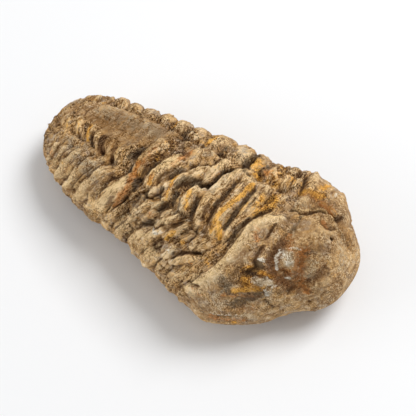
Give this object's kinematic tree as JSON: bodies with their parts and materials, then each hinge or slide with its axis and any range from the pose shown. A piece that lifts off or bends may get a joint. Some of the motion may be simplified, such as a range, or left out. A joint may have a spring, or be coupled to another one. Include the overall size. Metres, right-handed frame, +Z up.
{
  "type": "trilobite fossil",
  "caption": "Whole ribbed trilobite fossil in brown stone, back up, with a raised middle lobe, a lobed head and a flat underside to lie on.",
  "frame": {"origin": "middle of the fossil's box, on the plane of its flat underside", "axes": "+X toward the head, +Y toward the animal's left side, +Z up from the underside"},
  "size_m": [0.0802, 0.0419, 0.0259],
  "materials": {
    "stone": "rough brown limestone with ochre and dark stains"
  },
  "bodies": {
    "root": {"trilobite": "stone"}
  },
  "joints": []
}
